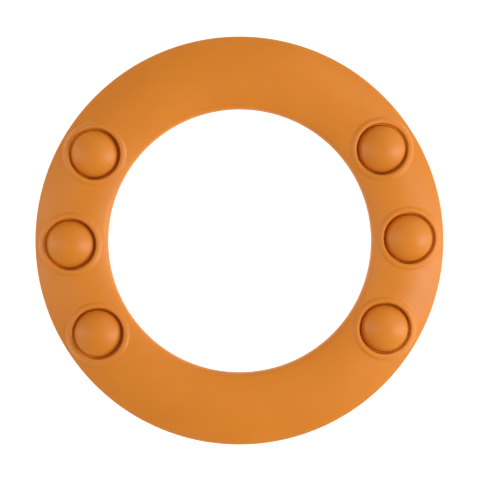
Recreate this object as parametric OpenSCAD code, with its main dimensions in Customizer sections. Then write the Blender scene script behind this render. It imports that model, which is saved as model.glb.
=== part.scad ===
// Flying ring of moulded silicone with six push-through pop domes, three on each side.
// Frame: the origin is the centre of the ring, on the surface that it lies on, and +Z points up.
// The two rows of domes face each other across the Y axis, so the ring mirrors in X and in Y.

/* [Ring] */
// Diameter over the thin outer edge
outer_d = 200; // [199:0.5:201]
// Diameter of the round opening in the middle
hole_d = 128.8; // [128:0.2:129.6]
// Diameter of the circle that the crest of the crowned band runs on
crest_d = 155.6; // [154.6:0.2:156.6]
// Radius of the crown outwards of its crest, which also sets how high the crest is
outer_crown_r = 35.5; // [34.5:0.5:36.5]
// Radius of the crown inwards of its crest
inner_crown_r = 33; // [31:1:35]
// Diameter at which the flat foot under the outer edge starts
foot_d = 190; // [189:0.5:191]
// Thickness of the rounded outer edge
edge_t = 2.6; // [2.4:0.1:2.8]
// Thickness of the silicone of the band
shell_t = 3; // [2.7:0.1:3.2]

/* [Inner lip] */
// Width of the turned-down lip round the opening
lip_w = 4.8; // [4.6:0.1:5]
// Radius along the upper corner of the lip
lip_top_round = 3.6; // [3.2:0.1:4]
// Height of the underside of the lip
lip_bottom = 1.5; // [1.2:0.1:1.8]
// Radius along the two lower corners of the lip
lip_round = 0.7; // [0.4:0.1:0.9]

/* [Collars] */
// Diameter of the circle that the domes and their collars sit on
pitch_d = 165.6; // [165:0.2:166]
// Angle between two neighbouring domes of a row
dome_step = 32; // [31:0.5:36]
// Diameter of the bore of a collar
bore_d = 25.1; // [24.9:0.1:25.3]
// Thickness of the wall of a collar
collar_w = 2.6; // [2.4:0.1:2.8]
// Height of the tops of the collars, where they are highest
collar_top = 10.3; // [10.2:0.1:10.6]
// Radius of the arc that the tops of the collars follow across the band
collar_crown_r = 40; // [38:1:42]
// Height of the bottoms of the collars, inside the hollow underside
collar_bottom = 1; // [0.6:0.1:1.4]

/* [Pop domes] */
// Diameter of a dome
dome_d = 22.2; // [21.8:0.1:22.4]
// Rise of the round cap over its skirt
dome_rise = 4.6; // [4.2:0.1:5]
// Thickness of a dome
dome_t = 1.2; // [1:0.1:1.4]
// Height of the straight skirt of a dome over the web
skirt_h = 2.2; // [1.8:0.1:2.6]
// Height of the top of the web that carries a dome
web_top_z = 5.2; // [5:0.1:5.4]
// Thickness of the thin web that lets a dome snap through
web_t = 0.7; // [0.6:0.1:0.8]

/* [Hidden] */
$fn = 96;
outer_r = outer_d / 2;
hole_r = hole_d / 2;
crest_r = crest_d / 2;
pitch_r = pitch_d / 2;

// The outer edge is a half circle round (edge_x, edge_r), and the crown runs into it smoothly.
edge_r = edge_t / 2;
edge_x = outer_r - edge_r;
edge_tilt = asin((edge_x - crest_r) / (outer_crown_r - edge_r));
edge_join_x = crest_r + outer_crown_r * sin(edge_tilt);

// The two arcs of the crown are level at the crest.
outer_crown_z = edge_r - (outer_crown_r - edge_r) * cos(edge_tilt);
crest_h = outer_crown_z + outer_crown_r;
inner_crown_z = crest_h - inner_crown_r;
foot_x = foot_d / 2;

// The upper corner of the lip is an arc round (corner_x, corner_z), and the crown runs into it smoothly.
corner_x = hole_r + lip_top_round;
corner_tilt = asin((crest_r - corner_x) / (inner_crown_r - lip_top_round));
corner_z = inner_crown_z + (inner_crown_r - lip_top_round) * cos(corner_tilt);
corner_join_x = crest_r - inner_crown_r * sin(corner_tilt);
lip_outer_x = hole_r + lip_w;

bore_r = bore_d / 2;
collar_r = bore_r + collar_w;
// The tops of the collars are highest a little outwards of the crest.
collar_crest_x = crest_r + 1;

web_bottom_z = web_top_z - web_t;
// The gap between the web and the dome, which are one piece of silicone on the real ring
web_gap = 0.05;

dome_r = dome_d / 2;
cap_base_z = web_top_z + skirt_h;
cap_r = (pow(dome_r, 2) + pow(dome_rise, 2)) / (2 * dome_rise);
cap_centre_z = cap_base_z + dome_rise - cap_r;
cap_inner_r = cap_r - dome_t;
skirt_inner_r = sqrt(pow(cap_inner_r, 2) - pow(cap_base_z - cap_centre_z, 2));

silicone = [0.85, 0.52, 0.2];
thin_silicone = [0.75, 0.43, 0.15];

// Places its children at a dome: side is 1 for the right row and -1 for the left one,
// and row is 1 for the upper dome, 0 for the middle one and -1 for the lower one.
module at_dome(side, row) {
    angle = row * dome_step;
    translate([side * pitch_r * cos(angle), pitch_r * sin(angle), 0]) children();
}

module at_every_dome() {
    for (side = [1, -1]) {
        for (row = [1, 0, -1]) {
            at_dome(side, row) children();
        }
    }
}

// A stretch of the plane of the section, from x0 to x1 and from z0 to z1
module window(x0, x1, z0, z1) {
    translate([x0, z0]) square([x1 - x0, z1 - z0]);
}

// Everything under the crown, less t of silicone
module under_crown(t) {
    intersection() {
        translate([crest_r, outer_crown_z]) circle(outer_crown_r - t, $fn = 360);
        union() {
            window(crest_r, edge_x, 0, crest_h);
            window(edge_x, edge_join_x, edge_r, crest_h);
        }
    }
    intersection() {
        translate([crest_r, inner_crown_z]) circle(inner_crown_r - t, $fn = 360);
        window(corner_join_x, crest_r, 0, crest_h);
    }
}

// The hollow underside, between the lip and the flat foot under the outer edge
module hollow_section() {
    intersection() {
        under_crown(shell_t);
        window(lip_outer_x, foot_x, 0, crest_h);
    }
}

// The turned-down lip, with a wide round corner on top and two small ones below
module lip_section() {
    intersection() {
        translate([corner_x, corner_z]) circle(lip_top_round);
        window(hole_r, corner_x, corner_z, crest_h);
    }
    window(hole_r, lip_outer_x, lip_bottom + lip_round, corner_z);
    window(hole_r + lip_round, lip_outer_x - lip_round, lip_bottom, lip_bottom + lip_round);
    for (x = [hole_r + lip_round, lip_outer_x - lip_round]) {
        translate([x, lip_bottom + lip_round]) circle(lip_round);
    }
}

module band_section() {
    difference() {
        under_crown(0);
        hollow_section();
        // Under the lip, the band stops short of the surface
        window(corner_join_x, lip_outer_x, 0, corner_z);
    }
    translate([edge_x, edge_r]) circle(edge_r);
    lip_section();
}

// Everything between the bottoms and the tops of the collars, round the whole ring
module collar_layer_section() {
    intersection() {
        translate([collar_crest_x, collar_top - collar_crown_r]) circle(collar_crown_r, $fn = 720);
        window(hole_r, outer_r, collar_bottom, collar_top);
    }
}

module ring_body() {
    color(silicone) {
        difference() {
            union() {
                rotate_extrude() band_section();
                intersection() {
                    rotate_extrude() collar_layer_section();
                    at_every_dome() cylinder(r = collar_r, h = collar_top);
                }
            }
            at_every_dome() {
                translate([0, 0, -crest_h]) cylinder(r = bore_r, h = 3 * crest_h);
            }
        }
    }
}

// The dome's round cap and short skirt
module dome_section() {
    intersection() {
        difference() {
            translate([0, cap_centre_z]) circle(cap_r);
            translate([0, cap_centre_z]) circle(cap_inner_r);
        }
        window(0, dome_r, cap_base_z, cap_base_z + dome_rise);
    }
    window(skirt_inner_r, dome_r, web_bottom_z, cap_base_z);
}

module pop_dome(side, row) {
    color(silicone) at_dome(side, row) rotate_extrude() dome_section();
}

module pop_web(side, row) {
    color(thin_silicone) {
        at_dome(side, row) {
            translate([0, 0, web_bottom_z]) {
                difference() {
                    cylinder(r = bore_r, h = web_t);
                    translate([0, 0, -web_t]) cylinder(r = dome_r + web_gap, h = 3 * web_t);
                }
            }
        }
    }
}

ring_body();
pop_dome(1, 1);  // pop_dome_right_upper
pop_dome(1, 0);  // pop_dome_right_middle
pop_dome(1, -1);  // pop_dome_right_lower
pop_dome(-1, 1);  // pop_dome_left_upper
pop_dome(-1, 0);  // pop_dome_left_middle
pop_dome(-1, -1);  // pop_dome_left_lower
pop_web(1, 1);  // pop_web_right_upper
pop_web(1, 0);  // pop_web_right_middle
pop_web(1, -1);  // pop_web_right_lower
pop_web(-1, 1);  // pop_web_left_upper
pop_web(-1, 0);  // pop_web_left_middle
pop_web(-1, -1);  // pop_web_left_lower
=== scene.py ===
# %% [markdown]
# # A flying ring of moulded silicone with six pop domes
#
# The real object is one soft silicone moulding. A crowned band runs round a large opening, and six thin
# domes stand in raised collars, three on each side. A dome pushed with a finger turns inside out and
# stays so.
#
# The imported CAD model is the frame: it says where everything is and how it moves. The skins made here
# lie on it.

# %% Load the frame
import math

import bmesh
import bpy
import numpy as np
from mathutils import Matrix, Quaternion, Vector


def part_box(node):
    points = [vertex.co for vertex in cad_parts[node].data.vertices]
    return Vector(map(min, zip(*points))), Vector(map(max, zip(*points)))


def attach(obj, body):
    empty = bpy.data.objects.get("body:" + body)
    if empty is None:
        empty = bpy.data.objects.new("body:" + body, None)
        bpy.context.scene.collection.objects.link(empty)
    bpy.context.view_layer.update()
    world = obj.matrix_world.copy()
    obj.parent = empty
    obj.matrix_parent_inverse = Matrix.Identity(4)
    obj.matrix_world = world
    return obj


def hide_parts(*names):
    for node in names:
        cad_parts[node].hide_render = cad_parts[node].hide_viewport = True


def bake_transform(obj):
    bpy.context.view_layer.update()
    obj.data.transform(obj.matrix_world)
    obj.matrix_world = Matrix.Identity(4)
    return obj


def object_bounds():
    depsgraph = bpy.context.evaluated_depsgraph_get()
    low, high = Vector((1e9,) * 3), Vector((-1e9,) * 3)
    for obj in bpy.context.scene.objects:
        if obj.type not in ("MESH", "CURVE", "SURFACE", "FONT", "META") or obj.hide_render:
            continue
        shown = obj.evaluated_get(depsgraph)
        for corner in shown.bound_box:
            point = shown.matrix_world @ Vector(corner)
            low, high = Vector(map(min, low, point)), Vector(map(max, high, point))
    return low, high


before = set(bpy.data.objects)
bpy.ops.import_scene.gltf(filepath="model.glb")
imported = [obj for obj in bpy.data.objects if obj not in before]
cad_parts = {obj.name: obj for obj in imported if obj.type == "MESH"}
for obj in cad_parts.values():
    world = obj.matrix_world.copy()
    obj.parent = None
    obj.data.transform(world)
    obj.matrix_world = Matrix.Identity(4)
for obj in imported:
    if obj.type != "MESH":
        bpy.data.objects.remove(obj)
cad_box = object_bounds()
MM = 0.001
DOME_NODES = sorted(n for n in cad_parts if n.startswith("pop_dome_"))
print("the frame's box in mm:", [round(v / MM, 2) for v in (*cad_box[0], *cad_box[1])])
print("domes:", DOME_NODES)

# %% [markdown]
# ## A few helpers
#
# Colours are written as the hex values a paint chart gives. Blender's shaders want linear light, so one
# function turns one into the other. A second one adds a node with its settings and links, and the shape
# rules and the materials are both made with it. The other two are short forms for a sum and for an empty
# material.

# %% Helpers for colours and nodes
def linear(hex_colour):
    """A hex colour such as "CE7818" as linear red, green, blue and a full alpha."""
    channels = [int(hex_colour[i:i + 2], 16) / 255 for i in (0, 2, 4)]
    return [c / 12.92 if c <= 0.04045 else ((c + 0.055) / 1.055) ** 2.4 for c in channels] + [1.0]


def add(tree, kind, inputs=(), **settings):
    """Adds a node with its settings, fills or links its inputs, and returns its first output."""
    node = tree.nodes.new(kind)
    for name, value in settings.items():
        setattr(node, name, value)
    for key, value in inputs.items() if isinstance(inputs, dict) else enumerate(inputs):
        if isinstance(value, bpy.types.NodeSocket):
            tree.links.new(value, node.inputs[key])
        else:
            node.inputs[key].default_value = value
    return node.outputs[0] if node.outputs else None


def calculate(tree, operation, *values):
    """One step of arithmetic: values are numbers or sockets, and a smooth one takes its width last."""
    return add(tree, "ShaderNodeMath", values, operation=operation)


def empty_material(name):
    """A new material, and its node tree with nothing in it."""
    material = bpy.data.materials.new(name)
    material.use_nodes = True
    material.node_tree.nodes.clear()
    return material, material.node_tree


print("the deeper orange in linear light:", [round(c, 3) for c in linear("CE7818")])

# %% [markdown]
# ## The section of the band
#
# Cut the ring across and the top of the section is four arcs that run into each other: a wide round
# corner at the opening, two crowns that meet level at the crest, and a half round outer edge. An arc is
# kept as its centre's distance from the middle of the ring, its centre's height, and its radius. Each
# end arc lies inside its crown and touches it, which fixes the heights: no joint in the curve is left to
# chance.

# %% Arcs of the section
outer_r = cad_box[1].x
hole_r = 64.4 * MM
crest_r = 77.8 * MM
inner_crown_r, outer_crown_r = 33 * MM, 35.5 * MM
edge_r, corner_r = 1.3 * MM, 3.6 * MM
wall = 3 * MM

edge_arc = (outer_r - edge_r, edge_r, edge_r)
edge_tilt = math.asin((edge_arc[0] - crest_r) / (outer_crown_r - edge_r))
outer_crown_arc = (crest_r, edge_r - (outer_crown_r - edge_r) * math.cos(edge_tilt), outer_crown_r)
edge_at = crest_r + outer_crown_r * math.sin(edge_tilt)
crest_h = outer_crown_arc[1] + outer_crown_r

inner_crown_arc = (crest_r, crest_h - inner_crown_r, inner_crown_r)
corner_tilt = math.asin((crest_r - hole_r - corner_r) / (inner_crown_r - corner_r))
corner_z = inner_crown_arc[1] + (inner_crown_r - corner_r) * math.cos(corner_tilt)
corner_arc = (hole_r + corner_r, corner_z, corner_r)
corner_at = crest_r - inner_crown_r * math.sin(corner_tilt)
print("the crest is", round(crest_h / MM, 2), "mm high")
print("the edge's arc starts", round(edge_at / MM, 2), "mm from the middle")

# %% [markdown]
# ## The collars
#
# Each dome stands in a collar: a round wall with a half round top, which rises out of the band and goes
# down into the hollow under it. The tops of the collars are crowned too, across the band. The flank
# outside the half round top is straight and steep, and the smooth maximum further down gives it its soft
# foot.

# %% Sizes of the collars
pitch_r = 82.8 * MM
dome_step = math.radians(32)
bore_r = 12.65 * MM
collar_round = 1.3 * MM
collar_mid = bore_r + collar_round
collar_bottom = 1.0 * MM
collar_top, collar_crown_r = 10.05 * MM, 40 * MM
collar_crest_r = crest_r + 1 * MM
collar_arc = (collar_crest_r, collar_top - collar_crown_r, collar_crown_r)
flank_tilt = math.radians(60)
flank_at = collar_mid + collar_round * math.sin(flank_tilt)
flank_slope = 2.48  # mm down for each mm across
print("a collar is", round(2 * (collar_mid + collar_round) / MM, 1), "mm across")

# %% [markdown]
# ## A flat blank for the band
#
# The band's height is a rule: it depends only on the distance from the middle of the ring and from the
# nearest dome. So the mesh starts as a flat blank, and Geometry Nodes raises it. In the blank, z isn't a
# height but a share: 1 on the upper face, 0 on the underside, and in between on the walls.
#
# Polygons follow the shape. Round each dome they run in circles, which open out to a sector of the band,
# and between the two rows of domes they run straight round the band. That keeps every round edge clean
# with few polygons. A plain square grid would need millions for the same edges.

# %% Rows of the blank
COLUMNS_OF_SECTOR = 40
free_arc = math.pi - 3 * dome_step
columns_of_free_arc = round(COLUMNS_OF_SECTOR * free_arc / dome_step)

LAST_EDGE_TILT = math.radians(86)
plain_from, plain_to = 71 * MM, 93 * MM
circles_end = 15.9 * MM
CROWDING = 1.3  # above 1, the rows between the circles and the sector's border crowd at the circles
corner_rows = corner_arc[0] - corner_r * np.cos(np.linspace(0, math.pi / 2 - corner_tilt, 11))
edge_rows = edge_arc[0] + edge_r * np.sin(np.linspace(edge_tilt, LAST_EDGE_TILT, 9))
band_rows = np.concatenate([
    np.linspace(corner_rows[-1], plain_from, 9)[:-1],
    np.linspace(plain_from, plain_to, 13)[:-1],
    np.linspace(plain_to, edge_rows[0], 12),
])
collar_rows = np.concatenate([
    collar_mid - collar_round * np.cos(np.linspace(0, math.pi / 2, 8))[:-1],
    collar_mid + collar_round * np.sin(np.linspace(0, flank_tilt, 7))[:-1],
    np.linspace(flank_at, circles_end, 6),
])
opening_rows = np.linspace(0, 1, 11)[1:] ** CROWDING
print("rows across the band:", len(band_rows), "and round a collar:", len(collar_rows))

# %% [markdown]
# The mould closes at the middle of the outer edge and half way up the wall of the opening. A hair of
# silicone is pressed out there, so the blank has one row that stands out by a tenth of a millimetre in
# both places.

# %% Make the blank of the band
FLASH = 0.1 * MM
WELD_DISTANCE = 0.001 * MM
SIDES, ROWS_OF_DOMES = (1, -1), (1, 0, -1)


def polar(r, angle):
    """The points at one or more distances and angles from the middle of the ring."""
    return np.stack(np.broadcast_arrays(r * np.cos(angle), r * np.sin(angle)), -1)


def spread(middle, columns, turn):
    """Angles spread evenly over a turn, half of it on each side of its middle."""
    return middle + np.linspace(-0.5, 0.5, columns + 1) * turn


def dome_centre(side, row):
    """The middle of a dome: side is 1 on the right and -1 on the left, and row 1 is the furthest."""
    angle = row * dome_step
    return np.array([side * pitch_r * math.cos(angle), pitch_r * math.sin(angle)])


def border_of_sector(side, row):
    """The outline of the sector of the band round a dome, as one closed line of points."""
    middle = row * dome_step if side > 0 else math.pi - row * dome_step
    angles = spread(middle, COLUMNS_OF_SECTOR, dome_step)
    inner, outer = polar(band_rows[0], angles), polar(band_rows[-1], angles)
    first, last = polar(band_rows, angles[0]), polar(band_rows, angles[-1])
    return np.concatenate([inner[:-1], last[:-1], outer[::-1][:-1], first[::-1]])


def sheet_round_dome(side, row):
    """Rows of points from the bore of a collar out to the border of its sector."""
    centre, border = dome_centre(side, row), border_of_sector(side, row)
    outwards = border - centre
    outwards /= np.linalg.norm(outwards, axis=1)[:, None]
    rings = [centre + r * outwards for r in collar_rows]
    rings += [rings[-1] + share * (border - rings[-1]) for share in opening_rows]
    return np.array(rings)


def weld(name, sheets):
    """One closed mesh from sheets of points: each is an array of rows of (x, y, share)."""
    points, faces, start = [], [], 0
    for rows in sheets:
        high, wide = rows.shape[:2]
        index = start + np.arange(high * wide).reshape(high, wide)
        corners = [index[:-1, :-1], index[:-1, 1:], index[1:, 1:], index[1:, :-1]]
        faces.append(np.stack(corners, -1).reshape(-1, 4))
        points.append(rows.reshape(-1, 3))
        start += high * wide
    mesh = bpy.data.meshes.new(name)
    mesh.from_pydata(np.concatenate(points).tolist(), [], np.concatenate(faces).tolist())
    work = bmesh.new()
    work.from_mesh(mesh)
    bmesh.ops.remove_doubles(work, verts=work.verts, dist=WELD_DISTANCE)
    bmesh.ops.recalc_face_normals(work, faces=work.faces)
    open_edges = sum(not e.is_manifold for e in work.edges)
    work.to_mesh(mesh)
    work.free()
    print(name, "has", len(mesh.polygons), "faces and", open_edges, "open edges")
    return mesh


def at_share(points, share):
    """Flat points with their share of the height."""
    return np.concatenate([points, np.broadcast_to(share, points.shape[:-1])[..., None]], -1)


dome_sheets = [sheet_round_dome(side, row) for side in SIDES for row in ROWS_OF_DOMES]
free_arcs = [spread(k * math.pi / 2, columns_of_free_arc, free_arc) for k in (1, -1)]
faces_of_band = dome_sheets + [polar(band_rows[:, None], angles[None, :]) for angles in free_arcs]
right, left = (
    [spread(middle + k * dome_step, COLUMNS_OF_SECTOR, dome_step) for k in (-1, 0, 1)]
    for middle in (0, math.pi)
)
all_angles = np.concatenate([*right, free_arcs[0], *left, free_arcs[1]])
for rows in (corner_rows, edge_rows):
    faces_of_band.append(polar(rows[:, None], all_angles[None, :]))
sheets = [at_share(points, share) for points in faces_of_band for share in (1.0, 0.0)]

wall_shares = np.array([1, 0.8, 0.56, 0.5, 0.44, 0.2, 0])
wall_radii = np.where(wall_shares == 0.5, hole_r - FLASH, hole_r)
rim_shares = np.array([1, 0.5, 0])
rim_radii = np.array([edge_rows[-1], outer_r + FLASH, edge_rows[-1]])
for radii, shares in ((wall_radii, wall_shares), (rim_radii, rim_shares)):
    sheets.append(at_share(polar(radii[:, None], all_angles[None, :]), shares[:, None]))
bore_shares = np.linspace(1, 0, 6)
for dome_sheet in dome_sheets:
    bore = np.stack([dome_sheet[0]] * len(bore_shares))
    sheets.append(at_share(bore, bore_shares[:, None]))
band_blank = weld("band_blank", sheets)

# %% [markdown]
# ## The rule that shapes the band
#
# Geometry Nodes reads each point's place in the blank and sets its height. Small functions draw the
# parts of the rule that come back: the height of an arc, the choice between two heights where one arc
# takes over from the next, and a level that starts to climb at a place. Heights that meet are joined by
# a smooth maximum or minimum, which leaves a fillet as the mould does.

# %% Parts of the rule
def read_blank(tree):
    """Each point's x, y and share in the blank, and its distance from the middle."""
    position = add(tree, "GeometryNodeInputPosition")
    x, y, share = add(tree, "ShaderNodeSeparateXYZ", [position]).node.outputs
    flat = add(tree, "ShaderNodeCombineXYZ", [x, y, 0.0])
    length = add(tree, "ShaderNodeVectorMath", [flat], operation="LENGTH").node
    return x, y, share, length.outputs["Value"]


def circle_rise(tree, radius, away):
    """How high a circle reaches above its centre, at a distance to the side. Outside it that is 0."""
    away_squared = calculate(tree, "MULTIPLY", away, away)
    radius_squared = calculate(tree, "MULTIPLY", radius, radius)
    left = calculate(tree, "SUBTRACT", radius_squared, away_squared)
    left = calculate(tree, "MAXIMUM", left, 0.0)
    return calculate(tree, "SQRT", left)


def arc_height(tree, across, arc, thinner=0.0):
    """The upper half of an arc, given as a vector: its centre across and in height, and its radius."""
    centre, height, radius = add(tree, "ShaderNodeSeparateXYZ", [arc]).node.outputs
    radius = calculate(tree, "SUBTRACT", radius, thinner)
    away = calculate(tree, "SUBTRACT", across, centre)
    return calculate(tree, "ADD", height, circle_rise(tree, radius, away))


def take_over(tree, across, place, before, after):
    """One height up to a place, and another one beyond it."""
    beyond = calculate(tree, "GREATER_THAN", across, place)
    return add(tree, "GeometryNodeSwitch", [beyond, before, after], input_type="FLOAT")


def ramp(tree, across, place, slope, level):
    """A level that starts to climb at a place. A slope below 0 climbs towards the middle instead."""
    past = calculate(tree, "SUBTRACT", across, place)
    climb = calculate(tree, "MULTIPLY", past, slope)
    climb = calculate(tree, "MAXIMUM", climb, 0.0)
    return calculate(tree, "ADD", climb, level)


def start_tree(name, sizes):
    """A tree with one named input for each size, and the sockets that the sizes come in by."""
    tree = bpy.data.node_groups.new(name, "GeometryNodeTree")
    tree.interface.new_socket("Geometry", in_out="INPUT", socket_type="NodeSocketGeometry")
    tree.interface.new_socket("Geometry", in_out="OUTPUT", socket_type="NodeSocketGeometry")
    for label, value in sizes.items():
        kind = "NodeSocketFloat" if isinstance(value, float) else "NodeSocketVector"
        tree.interface.new_socket(label, in_out="INPUT", socket_type=kind)
    tree.interface.new_socket("Material", in_out="INPUT", socket_type="NodeSocketMaterial")
    return tree, add(tree, "NodeGroupInput").node.outputs


def end_tree(tree, geometry, given):
    """Ends a tree as the export needs it: real faces with a material."""
    real = add(tree, "GeometryNodeRealizeInstances", [geometry])
    painted = add(tree, "GeometryNodeSetMaterial", {"Geometry": real, "Material": given["Material"]})
    add(tree, "NodeGroupOutput", [painted])


def shaped(name, blank, tree, values):
    """Runs a tree on a blank and returns a plain mesh object, with no modifier left on it."""
    piece = bpy.data.objects.new(name, blank)
    bpy.context.scene.collection.objects.link(piece)
    modifier = piece.modifiers.new("shape", "NODES")
    modifier.node_group = tree
    for item in tree.interface.items_tree:
        if item.item_type == "SOCKET" and item.in_out == "INPUT" and item.name in values:
            modifier[item.identifier] = values[item.name]
    evaluated = piece.evaluated_get(bpy.context.evaluated_depsgraph_get())
    finished = bpy.data.meshes.new_from_object(evaluated)
    piece.modifiers.clear()
    piece.data = finished
    finished.name = name
    finished.shade_smooth()
    heights = [v.co.z / MM for v in finished.vertices]
    low, high = round(min(heights), 2), round(max(heights), 2)
    print(name, "has", len(finished.polygons), "faces, and goes from", low, "to", high, "mm")
    return piece


# %% [markdown]
# ## The skin of silicone
#
# Platinum-cured silicone is matte out of a bead-blasted mould, and it's slightly translucent: light goes
# in, spreads a millimetre or two and comes out redder. Subsurface scattering in the Principled shader
# does that, and its radius is given in real millimetres, longest for red. Silicone's index of refraction
# is about 1.41. The blasted mould leaves a grain of about 0.05 mm, which is too fine to show, so it is
# drawn at 0.6 mm. The pigment is never mixed quite evenly, which gives soft clouds about 25 mm wide.
# Handling polishes some places a little more than others, in patches of about 9 mm.

# %% Moulded silicone
CLOUD_SIZE, PATCH_SIZE, GRAIN_SIZE = 25 * MM, 9 * MM, 0.6 * MM
ROUGHNESS_SPREAD = 0.03


def moulded_silicone(name, orange, pale, roughness):
    """Pigmented silicone out of a blasted mould."""
    material, tree = empty_material(name)
    place = add(tree, "ShaderNodeTexCoord").node.outputs["Object"]
    clouds = add(tree, "ShaderNodeTexNoise", {"Vector": place, "Scale": 1 / CLOUD_SIZE, "Detail": 3.0})
    colour = add(tree, "ShaderNodeValToRGB", {"Fac": clouds})
    stops = colour.node.color_ramp.elements
    stops[0].position, stops[0].color = 0.35, linear(orange)
    stops[1].position, stops[1].color = 0.65, linear(pale)
    grain = add(tree, "ShaderNodeTexNoise", {"Vector": place, "Scale": 1 / GRAIN_SIZE, "Detail": 2.0})
    blasted = add(tree, "ShaderNodeBump", {"Strength": 0.12, "Distance": 0.04 * MM, "Height": grain})
    wear = add(tree, "ShaderNodeTexNoise", {"Vector": place, "Scale": 1 / PATCH_SIZE, "Detail": 4.0})
    matte = add(tree, "ShaderNodeMapRange", {
        "Value": wear, "From Min": 0.3, "From Max": 0.7,
        "To Min": roughness - ROUGHNESS_SPREAD, "To Max": roughness + ROUGHNESS_SPREAD,
    })
    skin = add(tree, "ShaderNodeBsdfPrincipled", {
        "Base Color": colour, "Roughness": matte, "IOR": 1.41, "Normal": blasted,
        "Subsurface Weight": 0.15, "Subsurface Radius": (1.0, 0.35, 0.1), "Subsurface Scale": 1.2 * MM,
    })
    add(tree, "ShaderNodeOutputMaterial", {"Surface": skin})
    return material


silicone = moulded_silicone("moulded silicone", "CE7818", "D27C1A", 0.46)
print("made", silicone.name)

# %% [markdown]
# ## Raise the band
#
# The upper face is the highest of the crown and the collars. The underside is the lowest of the hollow's
# ceiling, the lip, the foot that the ring rests on, and the bottoms of the collars, and no part of it
# goes below the surface that the ring lies on. The walls of the hollow are steep but not upright, so
# that the moulding comes off its mould. The distance from the nearest dome comes from folding the ring:
# one side lies on the other, and each angle is rounded to a whole number of steps, so one formula serves
# six collars.

# %% The band's tree
HOLLOW_SLOPE = 3.0  # mm up for each mm across
band_sizes = {
    "Corner arc": corner_arc, "Inner crown arc": inner_crown_arc, "Outer crown arc": outer_crown_arc,
    "Edge arc": edge_arc, "Corner ends at": corner_at, "Crest at": crest_r, "Edge at": edge_at,
    "Wall": wall, "Lip bottom": 1.5 * MM, "Lip corner": 0.7 * MM, "Lip ends at": 68.8 * MM,
    "Foot starts at": 95 * MM, "Pitch radius": pitch_r, "Dome step": dome_step,
    "Collar arc": collar_arc, "Collar bottom": collar_bottom, "Collar middle": collar_mid,
    "Collar round": collar_round, "Collar fillet": 3.0 * MM, "Fillet": 0.8 * MM,
}
tree, given = start_tree("moulded band", band_sizes)
x, y, share, r = read_blank(tree)

# how far each point is from the nearest dome
folded_x = calculate(tree, "ABSOLUTE", x)
angle = calculate(tree, "ARCTAN2", y, folded_x)
steps = calculate(tree, "DIVIDE", angle, given["Dome step"])
steps = calculate(tree, "ROUND", steps)
steps = add(tree, "ShaderNodeClamp", [steps, -1.0, 1.0])
turn = calculate(tree, "MULTIPLY", steps, given["Dome step"])
cosine = calculate(tree, "COSINE", turn)
sine = calculate(tree, "SINE", turn)
unit = add(tree, "ShaderNodeCombineXYZ", [cosine, sine, 0.0])
to_dome = {0: unit, "Scale": given["Pitch radius"]}
centre = add(tree, "ShaderNodeVectorMath", to_dome, operation="SCALE")
folded = add(tree, "ShaderNodeCombineXYZ", [folded_x, y, 0.0])
apart = add(tree, "ShaderNodeVectorMath", [folded, centre], operation="DISTANCE").node
from_dome = apart.outputs["Value"]

# the round top of a collar and its flank, as a drop below the collar's crown
out = calculate(tree, "SUBTRACT", from_dome, given["Collar middle"])
out = calculate(tree, "DIVIDE", out, given["Collar round"])
on_round = add(tree, "ShaderNodeClamp", [out, -1.0, math.sin(flank_tilt)])
drop = calculate(tree, "SUBTRACT", 1.0, circle_rise(tree, 1.0, on_round))
drop = calculate(tree, "MULTIPLY", drop, given["Collar round"])
drop = ramp(tree, from_dome, flank_at, flank_slope, drop)

# the upper face
edge = arc_height(tree, r, given["Edge arc"])
band_top = arc_height(tree, r, given["Corner arc"])
inner_crown = arc_height(tree, r, given["Inner crown arc"])
outer_crown = arc_height(tree, r, given["Outer crown arc"])
for place, beyond in (("Corner ends at", inner_crown), ("Crest at", outer_crown), ("Edge at", edge)):
    band_top = take_over(tree, r, given[place], band_top, beyond)
collar_crown = arc_height(tree, r, given["Collar arc"])
collar_face = calculate(tree, "SUBTRACT", collar_crown, drop)
top = calculate(tree, "SMOOTH_MAX", band_top, collar_face, given["Collar fillet"])

# the underside
ceiling = take_over(
    tree, r, given["Crest at"],
    arc_height(tree, r, given["Inner crown arc"], given["Wall"]),
    arc_height(tree, r, given["Outer crown arc"], given["Wall"]),
)
lip = ramp(tree, r, given["Lip ends at"], HOLLOW_SLOPE, given["Lip bottom"])
corner_x = calculate(tree, "ADD", hole_r, given["Lip corner"])
to_corner = calculate(tree, "SUBTRACT", corner_x, r)
to_corner = calculate(tree, "MAXIMUM", to_corner, 0.0)
corner_rise = circle_rise(tree, given["Lip corner"], to_corner)
lift = calculate(tree, "SUBTRACT", given["Lip corner"], corner_rise)
lip = calculate(tree, "ADD", lip, lift)
foot = ramp(tree, r, given["Foot starts at"], -HOLLOW_SLOPE, 0.0)
collar_under = calculate(tree, "ADD", given["Collar bottom"], drop)
under = ceiling
for lower in (lip, foot, collar_under):
    under = calculate(tree, "SMOOTH_MIN", under, lower, given["Fillet"])
under = calculate(tree, "MAXIMUM", under, 0.0)
edge_middle = add(tree, "ShaderNodeSeparateXYZ", [given["Edge arc"]]).node.outputs[1]
edge_round = calculate(tree, "SUBTRACT", edge, edge_middle)
edge_under = calculate(tree, "SUBTRACT", edge_middle, edge_round)
under = take_over(tree, r, edge_arc[0], under, edge_under)

height = add(tree, "ShaderNodeMapRange", [share, 0.0, 1.0, under, top])
raised = add(tree, "ShaderNodeCombineXYZ", [x, y, height])
band = add(tree, "GeometryNodeSetPosition", {"Geometry": given["Geometry"], "Position": raised})
end_tree(tree, band, given)
ring = shaped("ring_skin", band_blank, tree, {**band_sizes, "Material": silicone})

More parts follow.
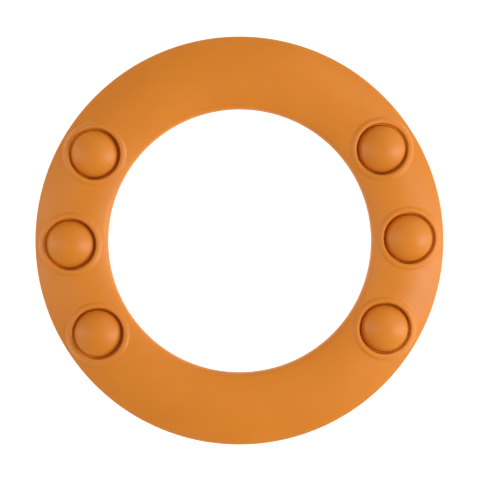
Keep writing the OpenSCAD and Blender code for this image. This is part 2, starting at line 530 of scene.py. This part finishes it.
# %% [markdown]
# ## The pop domes
#
# A dome and its web are one thin skin. The cap is part of a ball, a short skirt goes down from it to the
# web, and the web runs out into the wall of the collar. The outer and the inner face each have their own
# height, so the silicone has its real thickness all over.
#
# A dome that is pushed through folds round its skirt, and above the fold it turns into its own mirror
# image. So each point moves by its own share of the full travel: all of it at the tip, and none at the
# fold or below it. The rule works this share out and stores it on each point.

# %% Blank of a dome
web_top, web_bottom = 5.2 * MM, 4.5 * MM
fold_at = 6.15 * MM
dome_r, dome_wall = 11.1 * MM, 1.2 * MM
dome_rise, skirt = 4.6 * MM, 2.2 * MM
cap_r = (dome_r ** 2 + dome_rise ** 2) / (2 * dome_rise)
cap_arc = (0.0, web_top + skirt + dome_rise - cap_r, cap_r)
inner_r = math.sqrt((cap_r - dome_wall) ** 2 - (web_top + skirt - cap_arc[1]) ** 2)
travel = 2 * (cap_arc[1] + cap_r - fold_at) - dome_wall
depth_in_wall = 0.4 * MM
COLUMNS_OF_DOME = 96
dome_rows = MM * np.array([
    0, 0.5, 1.2, 2, 2.9, 3.8, 4.7, 5.6, 6.4, 7.2, 7.9, 8.4, 8.8, 9.1, 9.25, 9.4, 9.6, 9.8, 10.05, 10.3,
    10.6, 10.8, 10.95, 11.05, 11.1, 11.15, 11.25, 11.4, 11.6, 11.75, 11.9, 12.05, 12.2, 12.35, 12.5,
    12.7,
])
dome_rows = np.append(dome_rows, bore_r + depth_in_wall)
around = np.linspace(0, 2 * math.pi, COLUMNS_OF_DOME + 1)
disc = polar(dome_rows[:, None], around[None, :])
rim = at_share(np.stack([disc[-1]] * 2), np.array([[1.0], [0.0]]))
dome_blank = weld("dome_blank", [at_share(disc, 1.0), at_share(disc, 0.0), rim])
print("a dome's tip travels", round(travel / MM, 2), "mm")

# %% [markdown]
# ## The rule that shapes a dome
#
# Each face of the skin is the lower of the cap and the side of the skirt, and then the higher of that
# and the web. The web gets thicker where it meets the wall of the collar, so it can't tear out there.
# The skirt leans a little, which lets the moulding out of its mould.

# %% The domes' tree
SKIRT_SLOPE, OUTER_FILLET_SLOPE = 3.2, 2.2  # mm down or up for each mm across
shoulder = 0.4 * MM
outer_fillet_start = -0.4 * MM
dome_sizes = {
    "Centre": (0.0, 0.0, 0.0), "Cap arc": cap_arc, "Wall": dome_wall,
    "Web top": web_top, "Web bottom": web_bottom, "Skirt top": web_top + skirt,
    "Skirt at": dome_r, "Inner skirt at": inner_r, "Fold at": fold_at, "Travel": travel,
    "Fillet": 0.45 * MM, "Web fillet": 0.7 * MM, "Outer fillet at": 12.2 * MM,
}
tree, given = start_tree("pop dome", dome_sizes)
x, y, share, r = read_blank(tree)
faces = []
for place, thinner, web in (
    (given["Skirt at"], 0.0, given["Web top"]),
    (given["Inner skirt at"], given["Wall"], given["Web bottom"]),
):
    cap = arc_height(tree, r, given["Cap arc"], thinner)
    down = ramp(tree, r, place, SKIRT_SLOPE, 0.0)
    side_of_skirt = calculate(tree, "SUBTRACT", given["Skirt top"], down)
    face = calculate(tree, "SMOOTH_MIN", cap, side_of_skirt, given["Fillet"])
    starts = calculate(tree, "SUBTRACT", place, shoulder)
    cap = take_over(tree, r, starts, cap, face)
    faces.append(calculate(tree, "SMOOTH_MAX", cap, web, given["Web fillet"]))
fillet = ramp(tree, r, given["Outer fillet at"], OUTER_FILLET_SLOPE, outer_fillet_start)
fillet = calculate(tree, "SMOOTH_MAX", fillet, 0.0, given["Web fillet"])
upper = calculate(tree, "ADD", faces[0], fillet)
lower = calculate(tree, "SUBTRACT", faces[1], fillet)
height = add(tree, "ShaderNodeMapRange", [share, 0.0, 1.0, lower, upper])
raised = add(tree, "ShaderNodeCombineXYZ", [x, y, height])
placed = add(tree, "ShaderNodeVectorMath", [raised, given["Centre"]], operation="ADD")
both = calculate(tree, "ADD", upper, lower)
twice_fold = calculate(tree, "ADD", given["Fold at"], given["Fold at"])
pop_share = calculate(tree, "SUBTRACT", both, twice_fold)
pop_share = calculate(tree, "DIVIDE", pop_share, given["Travel"])
to_store = {"Geometry": given["Geometry"], "Name": "pop_share", "Value": pop_share}
stored = add(tree, "GeometryNodeStoreNamedAttribute", to_store, data_type="FLOAT")
dome = add(tree, "GeometryNodeSetPosition", {"Geometry": stored, "Position": placed})
end_tree(tree, dome, given)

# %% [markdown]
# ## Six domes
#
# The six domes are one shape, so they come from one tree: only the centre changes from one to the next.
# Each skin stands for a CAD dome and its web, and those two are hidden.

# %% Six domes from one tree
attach(ring, "ring")
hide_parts("ring_body")
for node in DOME_NODES:
    name = node.removeprefix("pop_dome_")
    low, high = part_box(node)
    middle = ((low.x + high.x) / 2, (low.y + high.y) / 2, 0.0)
    values = {**dome_sizes, "Centre": middle, "Material": silicone}
    dome = shaped("dome_skin_" + name, dome_blank, tree, values)
    shares = np.zeros(len(dome.data.vertices), np.float32)
    dome.data.attributes["pop_share"].data.foreach_get("value", shares)
    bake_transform(dome)
    dome.data.attributes.remove(dome.data.attributes["pop_share"])
    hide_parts(node, "pop_web_" + name)

# %% [markdown]
# ## The table and the tent
#
# The ring lies on a white light table, so no shadow shows and a little light comes up through the thin
# domes. A white tent stands over it, and is made here as an evenly lit world. The table's top lies a
# hair below the ring, so that the two faces don't flicker where they touch.

# %% Light table
def white_light_table():
    """Opal acrylic lit from below."""
    material, tree = empty_material("lit opal acrylic")
    opal = add(tree, "ShaderNodeBsdfPrincipled", {
        "Base Color": linear("959595"), "Roughness": 0.6,
        "Emission Color": linear("FFFFFF"), "Emission Strength": 1.0,
    })
    add(tree, "ShaderNodeOutputMaterial", {"Surface": opal})
    return material


table_r, table_z = 6.0, -0.2 * MM
tent_light = 0.41
table_mesh = bpy.data.meshes.new("light_table")
work = bmesh.new()
bmesh.ops.create_circle(work, cap_ends=True, segments=64, radius=table_r)
bmesh.ops.translate(work, verts=work.verts, vec=(0, 0, table_z))
work.to_mesh(table_mesh)
work.free()
table = bpy.data.objects.new("light_table", table_mesh)
bpy.context.scene.collection.objects.link(table)
table.data.materials.append(white_light_table())

world = bpy.data.worlds.new("studio")
world.use_nodes = True
background = world.node_tree.nodes["Background"].inputs
background["Color"].default_value = linear("FFFFFF")
background["Strength"].default_value = tent_light
bpy.context.scene.world = world
bpy.context.scene.view_settings.view_transform = "Standard"
print("the table is", 2 * table_r, "m wide, and the tent's strength is", tent_light)

# %% [markdown]
# ## The softboxes
#
# Five softboxes model the round shapes: two stand on the right, two on the left, and a weak one behind
# on the right. They stand well off the vertical, because a lamp straight above would fill the grooves
# with light. A wide lamp makes soft shades, and the pair on the right is the stronger one, so the shapes
# read as raised.

# %% Softboxes
LAMP_DISTANCE = 3.0


def softbox(name, azimuth, from_vertical, size, power):
    """A square softbox that faces the middle of the ring. Angles are in degrees, and power in watts."""
    light = bpy.data.lights.new(name, "AREA")
    light.shape, light.size, light.energy = "SQUARE", size, power
    lamp = bpy.data.objects.new(name, light)
    a, v = math.radians(azimuth), math.radians(from_vertical)
    towards = Vector((math.sin(v) * math.cos(a), math.sin(v) * math.sin(a), math.cos(v)))
    lamp.location = towards * LAMP_DISTANCE
    lamp.rotation_euler = towards.to_track_quat("Z", "Y").to_euler()
    bpy.context.scene.collection.objects.link(lamp)
    print(name, "stands at", [round(c, 2) for c in lamp.location])


softbox("softbox_right_low", -10, 66, 1.2, 39)
softbox("softbox_right_high", -13, 45, 0.8, 30)
softbox("softbox_back", 45, 50, 1.2, 12)
softbox("softbox_left_low", 180, 66, 1.2, 22)
softbox("softbox_left_high", 185, 28, 1.2, 11)

# %% [markdown]
# ## The camera
#
# The camera hangs about 2 m above the ring and looks almost straight down. From there a long lens shows
# the ring with hardly any perspective. The camera is turned towards its aim first, and then rolled by
# one degree. Two quaternions do that in the right order, which three Euler angles would mix up.

# %% Camera
aim = Vector((0.19 * MM, 0.42 * MM, edge_r))
aim_to_camera = Vector((-0.05, 0.06, 2.0))
camera_roll = math.radians(-1.0)
half_view = 117.67 * MM
camera = bpy.data.objects.new("camera", bpy.data.cameras.new("camera"))
camera.location = aim + aim_to_camera
look = aim - camera.location
tilt = Vector((0, 0, -1)).rotation_difference(look)
roll = Quaternion((0, 0, 1), camera_roll)
camera.rotation_euler = (tilt @ roll).to_euler()
camera.data.lens = camera.data.sensor_width / 2 * look.length / half_view
camera.data.clip_start, camera.data.clip_end = 0.1, 20
bpy.context.scene.collection.objects.link(camera)
bpy.context.scene.camera = camera
print("lens in mm:", round(camera.data.lens, 1))
